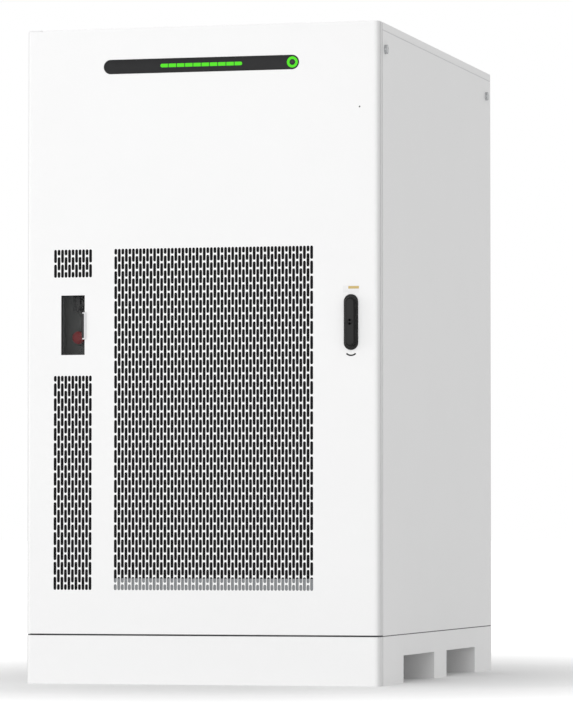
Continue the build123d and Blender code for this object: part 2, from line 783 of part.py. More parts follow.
toggle_turn = 25.0
keep("control_panel", control_panel())
keep("stop_collar", stop_collar())
keep("stop_button", stop_button())
keep("selector_base", selector_base_plate())
keep("selector_knob", selector_knob())
keep("main_breaker", main_breaker())
keep("breaker_toggle", breaker_toggle())
keep("cable_trunking", block((partition[0] - 80, partition[0]), (300.0, 380.0), (base_rail[1] + 20, top_rail[0] - 55.0)))


# ---------------------------------------------------------------- battery stack
rack_post = 30.0
rack_gap = 4.0
stack_half = module_width / 2 + rack_gap
rack_d = (module_front + 20, module_front + module_depth - 20)
shelf = 3.0
stack_top = stack_z + module_count * module_pitch


def rack_upright(side, d):
    x = module_x + side * (stack_half + rack_post / 2)
    return block(span(x, rack_post), d, (plinth_height, stack_top + control_unit_height))


def shelf_plate(z):
    return block(span(module_x, 2 * stack_half), rack_d, (z - shelf, z))


def battery_module(n):
    """Closed case with a raised front plate."""
    z = stack_z + n * module_pitch
    case = block(span(module_x, module_width), (module_front, module_front + module_depth), (z, z + module_height))
    face = block(span(module_x, module_width - 40), (module_front - 4, module_front), (z + 12, z + module_height - 12))
    return case + face


def module_handle(n, side):
    z = stack_z + n * module_pitch + module_height / 2
    x = module_x + side * (module_width / 2 - 60)
    grip = block(span(x, 14.0), (module_front - 34, module_front - 4), span(z, 110.0))
    return grip - block(span(x, 20.0), (module_front - 24, module_front), span(z, 82.0))


def bus_link(n):
    """Strap from one module's terminal to the next one's."""
    low = stack_z + n * module_pitch + module_height / 2
    x = module_x + (30 if n % 2 else -30)
    strap = block(span(x, 24.0), (module_front - 14, module_front - 10), (low - 12, low + module_pitch + 12))
    for z in (low, low + module_pitch):
        strap += rod_y(x, z, 8.0, (module_front - 10, module_front - 4))
    return strap


keep("rack_uprights", *[rack_upright(s, d) for s in (-1, 1)
                        for d in ((rack_d[0], rack_d[0] + rack_post), (rack_d[1] - rack_post, rack_d[1]))])
keep("rack_shelves", *[shelf_plate(stack_z + n * module_pitch) for n in range(module_count + 1)])
keep("battery_modules", *[battery_module(n) for n in range(module_count)])
keep("module_handles", *[module_handle(n, s) for n in range(module_count) for s in (-1, 1)])
keep("bus_links", *[bus_link(n) for n in range(module_count - 1)])
keep("control_unit", block(span(module_x, module_width), (module_front, module_front + control_unit_depth),
                           (stack_top, stack_top + control_unit_height)))


# ---------------------------------------------------------------- fans on the rear panel
fan_d = (depth - sheet - fan_thickness, depth - sheet)
fan_bore = fan_square / 2 - 8
hub_radius = 32.0
axle_radius = 4.0


def fan_x(n):
    return (n - (fan_count - 1) / 2) * fan_pitch


def fan_frame(n):
    """Square frame with a cross at the back that carries the axle."""
    x = fan_x(n)
    frame = block(span(x, fan_square), fan_d, span(fan_z, fan_square))
    frame -= rod_y(x, fan_z, fan_bore, (fan_d[0] - 1, fan_d[1] + 1))
    bar_d = (fan_d[1] - 4, fan_d[1])
    frame += block(span(x, 2 * fan_bore + 4), bar_d, span(fan_z, 12.0))
    frame += block(span(x, 12.0), bar_d, span(fan_z, 2 * fan_bore + 4))
    return frame + rod_y(x, fan_z, axle_radius, (fan_d[0] + 8, fan_d[1]))


def fan_rotor(n):
    """Hub with flat pitched blades on the fixed axle."""
    d = (fan_d[0] + 6, fan_d[1] - 6)
    rotor = rod_y(fan_x(n), fan_z, hub_radius, d)
    reach = fan_bore - 3 - hub_radius + 4
    for blade in range(fan_blades):
        vane = Pos(hub_radius - 4 + reach / 2, 0, 0) * Rot(38, 0, 0) * Box(reach, 2.4, 44.0)
        turned = Rot(0, 360 * blade / fan_blades, 0) * vane
        rotor += Pos(fan_x(n), front + (d[0] + d[1]) / 2, fan_z) * turned
    return rotor - rod_y(fan_x(n), fan_z, axle_radius + running_gap, (d[0] + 1.5, d[1] + 1))


keep("fan_frames", *[fan_frame(n) for n in range(fan_count)])
for n in range(fan_count):
    keep(f"fan_rotor_{n + 1}", fan_rotor(n))


# ---------------------------------------------------------------- door seal
def seal_ring():
    """Foam strip round the front of the housing."""
    middle = (base_rail[0] + top_rail[1]) / 2
    tall = top_rail[1] - base_rail[0] - 2 * seal_lift
    outer = Rectangle(width - 2 * seal_inset, tall)
    inner = Rectangle(width - 2 * seal_inset - 2 * seal_width, tall - 2 * seal_width)
    return slab(Pos(0, middle) * (outer - inner), (front_post[0] - sheet, front_post[0]))


seal_width = 9.0
seal_inset = 46.0
seal_lift = 40.5
keep("door_seal", seal_ring())
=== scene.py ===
"""The finished look of the battery cabinet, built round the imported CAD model.

The row frame is used as it stands: metres, +Z up, the door facing -Y. Sizes below are in millimetres, and
depths named d run backwards from the door's outer face, as in the CAD. Every piece sits at the origin.
"""
import json
import math

import bmesh
import bpy
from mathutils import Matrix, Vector


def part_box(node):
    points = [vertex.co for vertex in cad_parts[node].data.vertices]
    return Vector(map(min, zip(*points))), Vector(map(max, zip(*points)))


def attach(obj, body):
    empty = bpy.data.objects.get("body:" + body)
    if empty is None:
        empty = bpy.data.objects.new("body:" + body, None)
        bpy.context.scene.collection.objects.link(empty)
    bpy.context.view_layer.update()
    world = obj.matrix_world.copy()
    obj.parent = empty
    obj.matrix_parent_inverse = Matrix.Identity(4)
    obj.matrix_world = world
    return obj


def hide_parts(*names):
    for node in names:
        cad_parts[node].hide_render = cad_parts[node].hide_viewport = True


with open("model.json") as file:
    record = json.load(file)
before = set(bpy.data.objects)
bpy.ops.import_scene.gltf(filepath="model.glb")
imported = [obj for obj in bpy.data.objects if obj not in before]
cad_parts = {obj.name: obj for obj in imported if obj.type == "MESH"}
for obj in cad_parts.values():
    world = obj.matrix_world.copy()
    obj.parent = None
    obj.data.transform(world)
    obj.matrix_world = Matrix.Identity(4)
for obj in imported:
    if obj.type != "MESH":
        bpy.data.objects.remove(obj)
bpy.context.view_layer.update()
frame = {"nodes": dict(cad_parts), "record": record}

# ---------------------------------------------------------------- coated sheet steel
# The housing and frame are folded steel with a baked powder coat, white outside and grey inside, and the
# cast handle has the same coat in black. It has a little orange peel, and on the door's flanks the colour is
# painted darker: painted shade where the fold turns away from the light.
FLANK_SHADE = (0.545, 0.553)                 # where the painted shade on the flanks starts and where it is full, in metres from the middle


def add_node(tree, kind, values, output=0, **settings):
    """A node with its settings, then the values or links of its sockets. Gives one of its outputs."""
    node = tree.nodes.new(kind)
    for name, setting in settings.items():
        setattr(node, name, setting)
    for name, value in values.items():
        if isinstance(value, Value):
            tree.links.new(value.socket, node.inputs[name])
        else:
            node.inputs[name].default_value = value
    return Value(tree, node.outputs[output])


class Value:
    """A shader value that can be written with ordinary arithmetic."""

    def __init__(self, tree, socket):
        self.tree = tree
        self.socket = socket

    def _math(self, kind, *others):
        values = dict(enumerate((self, *others)))
        return add_node(self.tree, "ShaderNodeMath", values, operation=kind)

    def __add__(self, other):
        return self._math("ADD", other)

    def __mul__(self, other):
        return self._math("MULTIPLY", other)

    def __pow__(self, other):
        return self._math("POWER", other)

    __radd__ = __add__
    __rmul__ = __mul__

    def ramp(self, low, high):
        """0 below low, 1 above high, smooth between."""
        values = {"Value": self, "From Min": low, "From Max": high}
        return add_node(self.tree, "ShaderNodeMapRange", values, "Result", interpolation_type="SMOOTHSTEP")


class Paint:
    """One material: a Principled shader with a few values that vary over the surface."""

    def __init__(self, name, colour, roughness, metallic=0.0, shine=0.5):
        self.material = bpy.data.materials.new(name)
        self.material.use_nodes = True
        self.tree = self.material.node_tree
        self.shader = self.tree.nodes["Principled BSDF"]
        self.colour = colour
        plain = {"Base Color": (*colour, 1.0), "Roughness": roughness, "Metallic": metallic,
                 "Specular IOR Level": shine}
        for socket, value in plain.items():
            self.shader.inputs[socket].default_value = value
        self.coords = add_node(self.tree, "ShaderNodeTexCoord", {}, "Object")

    def axis(self, index):
        return add_node(self.tree, "ShaderNodeSeparateXYZ", {0: self.coords}, index)

    def noise(self, scale, stretch=(1, 1, 1), detail=2.0):
        placed = add_node(self.tree, "ShaderNodeMapping", {"Vector": self.coords, "Scale": stretch})
        values = {"Vector": placed, "Scale": scale, "Detail": detail}
        return add_node(self.tree, "ShaderNodeTexNoise", values, "Fac")

    def mix(self, amount, low, high):
        """A colour that goes from low to high as amount goes from 0 to 1."""
        values = {"Factor": amount, 6: (*low, 1.0), 7: (*high, 1.0)}
        return add_node(self.tree, "ShaderNodeMix", values, 2, data_type="RGBA")

    def tint(self, amount, other=None):
        """Base Color goes from the paint's colour towards another, or towards a darker shade of its own."""
        self.set("Base Color", self.mix(amount, self.colour, other or [c * 0.85 for c in self.colour]))

    def set(self, name, value):
        self.tree.links.new(value.socket, self.shader.inputs[name])

    def bump(self, height, distance):
        values = {"Height": height, "Distance": distance / 1000, "Strength": 1.0}
        self.set("Normal", add_node(self.tree, "ShaderNodeBump", values))


def coated(name, colour, roughness, peel=0.04, shine=0.5, spread=0.05, flank=None):
    """Powder coat: orange peel, faint clouds and uneven gloss. Folded flanks can take painted shade, a darker
    colour standing in for shade.
    """
    paint = Paint(name, colour, roughness, shine=shine)
    shade = paint.noise(3.0, detail=3.0).ramp(0.35, 0.75) * 0.06
    if flank:
        # painted shade: the colour darkens over the flanks, standing in for the shade where the fold turns
        across = paint.axis(0)
        shade = shade + (across * across).ramp(flank[0] ** 2, flank[1] ** 2) * 1.3
    paint.tint(shade)
    paint.set("Roughness", paint.noise(9.0) * spread + (roughness - spread / 2))
    paint.bump(paint.noise(420.0, detail=1.0), peel)
    return paint.material


def finish_nodes(slot, material):
    """The CAD nodes of one material slot take their finish."""
    for part in frame["record"]["subparts"]:
        if part["material_slot"] == slot:
            materials = frame["nodes"][part["node"]].data.materials
            materials.clear()
            materials.append(material)


WHITE = coated("cabinet_white", (0.80, 0.80, 0.80), 0.45, shine=0.35)
WHITE_SHADED_FLANKS = coated("front_white_flank_shade", (0.80, 0.80, 0.80), 0.45, shine=0.35, flank=FLANK_SHADE)
FRAME_GREY = coated("frame_grey", (0.20, 0.21, 0.22), 0.45)
BLACK_METAL = coated("black_metal", (0.009, 0.009, 0.009), 0.34, peel=0.02, shine=0.14)
finish_nodes("cabinet_white", WHITE)
finish_nodes("frame_grey", FRAME_GREY)
finish_nodes("black_metal", BLACK_METAL)
# The plinth's front cover takes the same painted shade on its flanks.
frame["nodes"]["plinth_front_cover"].data.materials[0] = WHITE_SHADED_FLANKS


# ---------------------------------------------------------------- bare metal parts
# Rack, latch work and side locks are zinc-plated or chromed steel, and the links between the modules are
# copper strip. Rolling and brushing leave a fine grain in them.
def brushed(name, colour, roughness, stretch=(1, 1, 40), depth=0.02):
    """Bare metal with a rolled or brushed grain."""
    paint = Paint(name, colour, roughness, metallic=1.0)
    grain = paint.noise(60.0, stretch, detail=3.0)
    paint.tint(grain * 0.5)
    paint.set("Roughness", grain * 0.2 + (roughness - 0.1))
    paint.bump(grain, depth)
    return paint.material


STEEL = brushed("steel", (0.52, 0.52, 0.53), 0.35, (30, 30, 1))
finish_nodes("galvanised", brushed("galvanised", (0.50, 0.51, 0.52), 0.42, (6, 1, 6)))
finish_nodes("copper", brushed("copper", (0.72, 0.34, 0.18), 0.35, (1, 1, 30)))
finish_nodes("steel", STEEL)
finish_nodes("chrome", brushed("chrome", (0.50, 0.51, 0.52), 0.28, (1, 1, 1), depth=0.003))

# The upper pivot plate is coated white like the roof beside it. The lower one is painted black: painted shade,
# standing in for the shade of the gap it lies in.
pivot_white_and_gap_shade = Paint("pivot_coat_gap_shade", (0.012, 0.012, 0.012), 0.45, shine=0.3)
pivot_white_and_gap_shade.tint(pivot_white_and_gap_shade.axis(2).ramp(0.9, 1.1), (0.80, 0.80, 0.80))
frame["nodes"]["door_pivots"].data.materials[0] = pivot_white_and_gap_shade.material


# ---------------------------------------------------------------- mouldings, seal and filters
# Breaker, fans and window frame are injection moulded in black plastic with a fine texture. The door's seal is
# extruded rubber, and the dark filter mats lie in frames behind the air slots.
def moulded(name, colour, roughness, grain=0.03, shine=0.5):
    """Moulded plastic with a fine texture."""
    paint = Paint(name, colour, roughness, shine=shine)
    paint.tint(paint.noise(14.0).ramp(0.3, 0.8) * 0.35)
    paint.set("Roughness", paint.noise(30.0) * 0.12 + (roughness - 0.06))
    paint.bump(paint.noise(1500.0, detail=1.0), grain)
    return paint.material


BLACK_PLASTIC = moulded("black_plastic", (0.012, 0.012, 0.013), 0.45, shine=0.35)
finish_nodes("black_plastic", BLACK_PLASTIC)
finish_nodes("rubber", moulded("rubber", (0.012, 0.012, 0.012), 0.8, grain=0.2, shine=0.2))
finish_nodes("filter", moulded("filter", (0.010, 0.010, 0.011), 0.95, grain=0.6, shine=0.1))


# ---------------------------------------------------------------- module fronts
# Each battery module has a coated sheet-steel front with a ribbed cooling field on either side of its
# terminals, moulded shrouds round both terminals and a pan-head screw in each corner.
X, Y, Z = 0, 1, 2


def reach(node_name, axis):
    """Where a CAD node starts and ends along an axis of the row frame, in millimetres."""
    low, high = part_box(node_name)
    return round(low[axis] * 1000, 1), round(high[axis] * 1000, 1)


def centre(node_name, axis):
    return sum(reach(node_name, axis)) / 2


DEPTH = 2 * reach("rear_panel", Y)[1]
MODULES = 6
MODULE_TALL = 176.0
MODULE_Z = reach("battery_modules", Z)
MODULE_PITCH = (MODULE_Z[1] - MODULE_Z[0] - MODULE_TALL) / (MODULES - 1)
MODULE_X = centre("battery_modules", X)
FACE_D = reach("battery_modules", Y)[0] + DEPTH / 2
RIBS = 14
RIB = (9.0, 3.4, 92.0, 2.6)            # pitch, width, height, proud
RIBS_START = 86.0                      # first rib on each side, from the middle
TERMINAL = 30.0
SHROUD = [(8.6, 0.0), (8.6, 4.6), (9.4, 5.2), (13.2, 5.2), (14.0, 4.4), (15.0, 0.0)]     # radius, proud
FACE_SCREW = (314.0, 62.0)             # half spacing across and up
SCREW = [(1.2, 1.6), (1.2, 2.6), (3.0, 2.4), (4.6, 1.0), (4.8, 0.0)]     # radius, proud

MODULE_DARK = coated("module_dark", (0.020, 0.021, 0.023), 0.5, peel=0.06, shine=0.4)
ORANGE = moulded("terminal_orange", (0.62, 0.16, 0.02), 0.5, grain=0.1)
finish_nodes("module_dark", MODULE_DARK)


def at(x, d, z):
    """A point from width, depth behind the door's face and height, in millimetres, in the row frame."""
    return Vector((x / 1000, (d - DEPTH / 2) / 1000, z / 1000))


def shape(name, bm, material, smooth_angle=35.0):
    """Object from a bmesh, smooth up to an angle."""
    bmesh.ops.recalc_face_normals(bm, faces=bm.faces)
    mesh = bpy.data.meshes.new(name)
    bm.to_mesh(mesh)
    bm.free()
    for polygon in mesh.polygons:
        polygon.use_smooth = True
    mesh.set_sharp_from_angle(angle=math.radians(smooth_angle))
    mesh.materials.append(material)
    obj = bpy.data.objects.new(name, mesh)
    bpy.context.scene.collection.objects.link(obj)
    return obj


def around(middle, size):
    return (middle - size / 2, middle + size / 2)


def add_block(bm, x, d, z, bevel=0.0, segments=2):
    """Box between two widths, depths and heights, with its edges rounded."""
    made = bmesh.ops.create_cube(bm, size=1.0)["verts"]
    low, high = at(x[0], d[0], z[0]), at(x[1], d[1], z[1])
    for v in made:
        v.co = Vector([low[i] + (high[i] - low[i]) * (v.co[i] + 0.5) for i in range(3)])
    if bevel:
        edges = list(dict.fromkeys(e for v in made for e in v.link_edges))
        bmesh.ops.bevel(bm, geom=edges, offset=bevel / 1000, segments=segments, profile=0.5, affect="EDGES")


def add_loops(bm, loops, cap_front=True, cap_back=True):
    """Skin through loops of (outline, depth), front to back."""
    rings = [[bm.verts.new(at(x, d, z)) for x, z in points] for points, d in loops]
    count = len(rings[0])
    for a, b in zip(rings, rings[1:]):
        for n in range(count):
            bm.faces.new((a[n], a[(n + 1) % count], b[(n + 1) % count], b[n]))
    if cap_front:
        bm.faces.new(rings[0])
    if cap_back:
        bm.faces.new(list(reversed(rings[-1])))
    return rings


def add_turned(bm, x, z, profile, steps=32, cap_front=True, cap_back=True):
    """Turned piece with its axis along the depth. The profile is (radius, depth), front to back."""
    loops = []
    for r, d in profile:
        ring = [(x + r * math.cos(2 * math.pi * n / steps), z + r * math.sin(2 * math.pi * n / steps))
                for n in range(steps)]
        loops.append((ring, d))
    return add_loops(bm, loops, cap_front, cap_back)


def add_proud(bm, x, z, profile, face, **options):
    """Turned piece that stands on a face at a depth. Its profile gives radii and heights over the face."""
    add_turned(bm, x, z, [(r, face - proud) for r, proud in profile], **options)


ribs_bm, shrouds_bm, screws_bm = bmesh.new(), bmesh.new(), bmesh.new()
for n in range(MODULES):
    middle = MODULE_Z[0] + n * MODULE_PITCH + MODULE_TALL / 2
    for side in (-1, 1):
        for k in range(RIBS):
            rib_x = around(MODULE_X + side * (RIBS_START + k * RIB[0]), RIB[1])
            rib_d = (FACE_D - RIB[3], FACE_D)
            add_block(ribs_bm, rib_x, rib_d, around(middle, RIB[2]), bevel=0.8, segments=1)
        terminal_x = MODULE_X + side * TERMINAL
        add_proud(shrouds_bm, terminal_x, middle, SHROUD, FACE_D, steps=24, cap_front=False, cap_back=False)
        for up in (-1, 1):
            screw_x = MODULE_X + side * FACE_SCREW[0]
            add_proud(screws_bm, screw_x, middle + up * FACE_SCREW[1], SCREW, FACE_D, steps=16)
for name, piece_bm, finish in (("module_front_ribs", ribs_bm, MODULE_DARK),
                               ("terminal_shrouds", shrouds_bm, ORANGE),
                               ("module_front_screws", screws_bm, STEEL)):
    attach(shape(name, piece_bm, finish), "cabinet")


# ---------------------------------------------------------------- control unit front
# The battery management unit on top of the stack has a plain coated front, held by four screws, with two
# pull handles that stand on posts.
UNIT_Z = reach("control_unit", Z)
UNIT_D = reach("control_unit", Y)[0] + DEPTH / 2
UNIT_FRONT = (664.0, 2.0, 10.0)        # width, thickness, margin above and below
UNIT_SCREW = (318.0, 22.0)             # half spacing across, distance from top and bottom
PULL_X = 285.0
PULL_POST = (5.0, 26.0, 32.0)          # radius, reach before the unit, half spacing
PULL_GRIP = (10.0, 76.0, 23.0, 31.0)   # width, height, back and front before the unit

plate_d = UNIT_D - UNIT_FRONT[1]
plate_z = (UNIT_Z[0] + UNIT_FRONT[2], UNIT_Z[1] - UNIT_FRONT[2])
grip_d = (UNIT_D - PULL_GRIP[3], UNIT_D - PULL_GRIP[2])
unit_middle = centre("control_unit", Z)

bm = bmesh.new()
add_block(bm, around(MODULE_X, UNIT_FRONT[0]), (plate_d, UNIT_D), plate_z, bevel=0.8)
for side in (-1, 1):
    x = MODULE_X + side * PULL_X
    for up in (-1, 1):
        post = [(PULL_POST[0], UNIT_D - PULL_POST[1]), (PULL_POST[0], plate_d)]
        add_turned(bm, x, unit_middle + up * PULL_POST[2], post, steps=16)
    add_block(bm, around(x, PULL_GRIP[0]), grip_d, around(unit_middle, PULL_GRIP[1]), bevel=3.0, segments=3)
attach(shape("control_unit_front", bm, BLACK_PLASTIC), "cabinet")

bm = bmesh.new()
for side in (-1, 1):
    for z in (UNIT_Z[0] + UNIT_SCREW[1], UNIT_Z[1] - UNIT_SCREW[1]):
        add_proud(bm, MODULE_X + side * UNIT_SCREW[0], z, SCREW, plate_d, steps=16)
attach(shape("control_unit_screws", bm, STEEL), "cabinet")


# ---------------------------------------------------------------- cable duct
# The upright duct beside the stack is an extruded plastic channel with a snap-on cover. A row of fingers,
# cut in the extrusion, shows on its front.
DUCT_X = reach("cable_trunking", X)
DUCT_D = reach("cable_trunking", Y)[0] + DEPTH / 2
DUCT_Z = (reach("cable_trunking", Z)[0] + 3.0, reach("cable_trunking", Z)[1] - 20.0)
FINGER = (20.0, 13.0, 1.2, 12.0)       # pitch, width, proud, distance from the duct's edges

bm = bmesh.new()
finger_x = (DUCT_X[0] + FINGER[3], DUCT_X[1] - FINGER[3])
for k in range(int((DUCT_Z[1] - DUCT_Z[0]) / FINGER[0])):
    z = DUCT_Z[0] + (k + 0.5) * FINGER[0]
    add_block(bm, finger_x, (DUCT_D - FINGER[2], DUCT_D), around(z, FINGER[1]), bevel=0.4, segments=1)
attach(shape("duct_fingers", bm, FRAME_GREY), "cabinet")


# ---------------------------------------------------------------- controls behind the window
# An emergency stop with a red mushroom head and, above it, a black rotary switch with a bar grip. Both are
# moulded and sit on a dark sheet-steel panel fixed to the frame, a hand's depth behind the door.
CONTROLS_X = centre("stop_button", X)
STOP_Z = centre("stop_button", Z)
SELECTOR_Z = centre("selector_knob", Z)
PANEL_D = reach("control_panel", Y)[0] + DEPTH / 2
STOP_HEAD = [(8.0, 49.8), (14.0, 50.4), (17.6, 52.2), (19.6, 55.2), (20.0, 58.5), (19.4, 61.0),
             (16.0, 62.0), (6.0, 62.5), (6.0, 101.8)]
STOP_COLLAR = [(6.2, 78.0), (13.0, 76.2), (15.0, 77.6), (15.0, 88.0), (23.2, 89.0), (24.0, 90.0),
               (24.0, PANEL_D)]
KNOB = [(16.0, 61.0), (17.5, 62.4), (17.5, 77.2)]
GRIP = (15.0, 50.0, 6.0)               # width, height, corner
GRIP_D = (50.0, 69.6)
SHAFT = [(4.0, 77.0), (4.0, 99.8)]

STOP_RED = moulded("stop_red", (0.19, 0.007, 0.010), 0.45, grain=0.0, shine=0.1)
PANEL_DARK = coated("control_panel_dark", (0.072, 0.074, 0.072), 0.55, shine=0.25)
finish_nodes("stop_red", STOP_RED)
finish_nodes("yellow", moulded("yellow", (0.55, 0.33, 0.03), 0.5))
frame["nodes"]["control_panel"].data.materials[0] = PANEL_DARK


def outline_round(x, z, wide, tall, r, steps=5):
    """Points round a rectangle with rounded corners."""
    points = []
    for sx, sz, start in ((1, 1, 0.0), (-1, 1, 0.5), (-1, -1, 1.0), (1, -1, 1.5)):
        cx, cz = x + sx * (wide / 2 - r), z + sz * (tall / 2 - r)
        for n in range(steps + 1):
            a = math.pi * (start + 0.5 * n / steps)
            points.append((cx + r * math.cos(a), cz + r * math.sin(a)))
    return points


def shrink(points, by):
    """The outline drawn in by a distance, for outlines without sharp corners."""
    count = len(points)
    out = []
    for n in range(count):
        ax, az = points[n - 1]
        bx, bz = points[(n + 1) % count]
        dx, dz = bx - ax, bz - az
        length = math.hypot(dx, dz)
        px, pz = points[n]
        out.append((px - by * dz / length, pz + by * dx / length))
    return out


def add_slab(bm, points, d, bevel=0.6, steps=3, caps=True):
    """Outline made thick from d[0] to d[1] with its front edge rounded."""
    loops = []
    for n in range(steps + 1):
        a = math.pi / 2 * n / steps
        loops.append((shrink(points, bevel * (1 - math.sin(a))), d[0] + bevel * (1 - math.cos(a))))
    loops.append((points, d[1]))
    return add_loops(bm, loops, caps, caps)


bm = bmesh.new()
add_turned(bm, CONTROLS_X, STOP_Z, STOP_HEAD, steps=48)
stop_head = shape("stop_mushroom", bm, STOP_RED, 50)
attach(stop_head, "stop")
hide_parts("stop_button")

bm = bmesh.new()
add_turned(bm, CONTROLS_X, STOP_Z, STOP_COLLAR, steps=48)
stop_ring = shape("stop_collar_ring", bm, BLACK_PLASTIC)
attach(stop_ring, "cabinet")
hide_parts("stop_collar")

bm = bmesh.new()
add_turned(bm, CONTROLS_X, SELECTOR_Z, KNOB, steps=40)
add_slab(bm, outline_round(CONTROLS_X, SELECTOR_Z, *GRIP), GRIP_D, bevel=2.0, steps=4)
add_turned(bm, CONTROLS_X, SELECTOR_Z, SHAFT, steps=16)
knob = shape("selector_grip", bm, BLACK_METAL)
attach(knob, "selector")
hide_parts("selector_knob")


# ---------------------------------------------------------------- seams of the housing
# Self-adhesive foam strips close the gaps above and below each side panel, grey over the plinth and pale
# under the roof. They lie a little back from the sheet's face.
WIDTH = 2 * reach("roof_panel", X)[1]
HEIGHT = reach("roof_panel", Z)[1]
PLINTH = reach("plinth_front_cover", Z)[1]
SHEET = 2.0
SEAM = 3.0
SEAM_BACK = 0.9                        # from the sheet's face to the strip
SEAM_D = (50.0, DEPTH - 1.0)
ROOF_EDGE = 22.0

SEAM_GREY = moulded("seam_foam_grey", (0.16, 0.16, 0.16), 0.8, grain=0.1, shine=0.2)
PALE = moulded("pale_plastic", (0.62, 0.62, 0.63), 0.4, shine=0.4)

for name, low_z, foam in (("plinth_seam_strips", PLINTH, SEAM_GREY),
                          ("roof_seam_strips", HEIGHT - ROOF_EDGE - SEAM, PALE)):
    bm = bmesh.new()
    for side in (-1, 1):
        strip = sorted((side * (WIDTH / 2 - SHEET), side * (WIDTH / 2 - SEAM_BACK)))
        add_block(bm, strip, SEAM_D, (low_z, low_z + SEAM))
    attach(shape(name, bm, foam), "cabinet")


# ---------------------------------------------------------------- air slots, by geometry nodes
# The cooling air goes in through fields of upright slots that are punched in the door's sheet. Neighbouring
# columns are staggered by half a pitch, and half slots finish the short columns.
SLOT_WIDTH = 8.9
SLOT_PITCH_X = 11.2
SLOT_PITCH_Z = 45.4
SLOT_WEB = 4.6
VENT_TOP = 1324.6
MAIN_VENT = (38.1, 56, 23.0)           # middle, columns, rows
UPPER_VENT = (CONTROLS_X, 11, 2.0)
LOWER_VENT = (CONTROLS_X, 11, 14.5)


def outline_stadium(x, z, wide, tall, steps=10):
    """Points round a stadium, along the longer side."""
    r = min(wide, tall) / 2
    points = []
    if tall >= wide:
        ends = [(x, z + tall / 2 - r, 0.0), (x, z - tall / 2 + r, math.pi)]
    else:
        ends = [(x + wide / 2 - r, z, -math.pi / 2), (x - wide / 2 + r, z, math.pi / 2)]
    for cx, cz, start in ends:
        for n in range(steps + 1):
            a = start + math.pi * n / steps
            points.append((cx + r * math.cos(a), cz + r * math.sin(a)))
    return points


def slot_tile(name, tall, material):
    """One cell of the perforated sheet: front and back faces round a slot, and the slot's wall."""
    bm = bmesh.new()
    half_x, half_z = SLOT_PITCH_X / 2, tall / 2
    steps = 5
    hole = outline_stadium(0, 0, SLOT_WIDTH, tall - SLOT_WEB, steps)
    corners = [(half_x, half_z), (-half_x, half_z), (-half_x, -half_z), (half_x, -half_z)]
    rings = []
    for d in (0.0, SHEET):
        inner = [bm.verts.new((x / 1000, d / 1000, z / 1000)) for x, z in hole]
        outer = [bm.verts.new((x / 1000, d / 1000, z / 1000)) for x, z in corners]
        top, bottom = inner[:steps + 1], inner[steps + 1:]
        half = (steps + 1) // 2
        faces = [
            (outer[0], outer[1], *reversed(top)),
            (outer[2], outer[3], *reversed(bottom)),
            (outer[3], outer[0], top[0], bottom[-1]),
            (outer[1], outer[2], bottom[0], top[-1]),
        ]
        for face in faces:
            bm.faces.new(face if d == 0 else tuple(reversed(face)))
        rings.append(inner)
    front, back = rings
    for n in range(len(front)):
        m = (n + 1) % len(front)
        bm.faces.new((front[n], back[n], back[m], front[m]))
    mesh = bpy.data.meshes.new(name)
    bm.to_mesh(mesh)
    bm.free()
    mesh.materials.append(material)
    obj = bpy.data.objects.new(name, mesh)
    bpy.context.scene.collection.objects.link(obj)
    return obj


